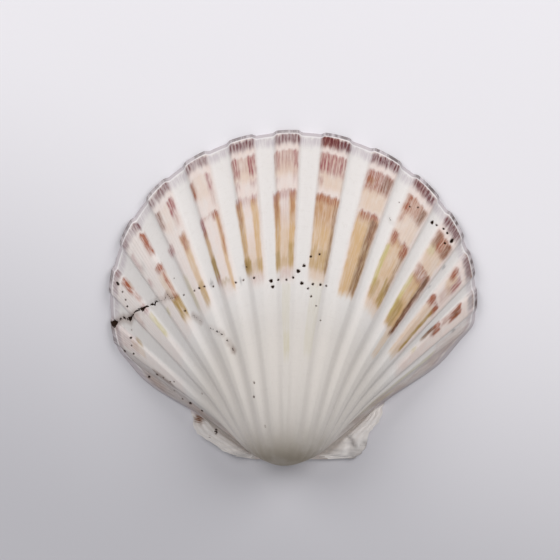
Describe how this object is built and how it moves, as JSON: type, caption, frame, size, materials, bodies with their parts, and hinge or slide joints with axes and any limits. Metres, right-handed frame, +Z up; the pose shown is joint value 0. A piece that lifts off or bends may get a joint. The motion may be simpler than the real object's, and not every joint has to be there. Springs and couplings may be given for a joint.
{
  "type": "scallop shell",
  "caption": "Domed scallop valve with flat-topped ribs fanning from a rounded umbo, a hollow underside and two chipped ears, lying hollow side down.",
  "frame": {"origin": "under the middle of the shell's box, on the surface that it lies on", "axes": "+X along the hinge line, to the right of someone who looks from the hinge towards the free edge; +Y from the hinge to the free edge; +Z up out of the domed side"},
  "size_m": [0.1212, 0.1096, 0.0266],
  "materials": {
    "shell": "worn satin calcite, cream-white grooves, ribs banded in tan, rose and maroon"
  },
  "bodies": {
    "root": {"valve": "shell"}
  },
  "joints": []
}
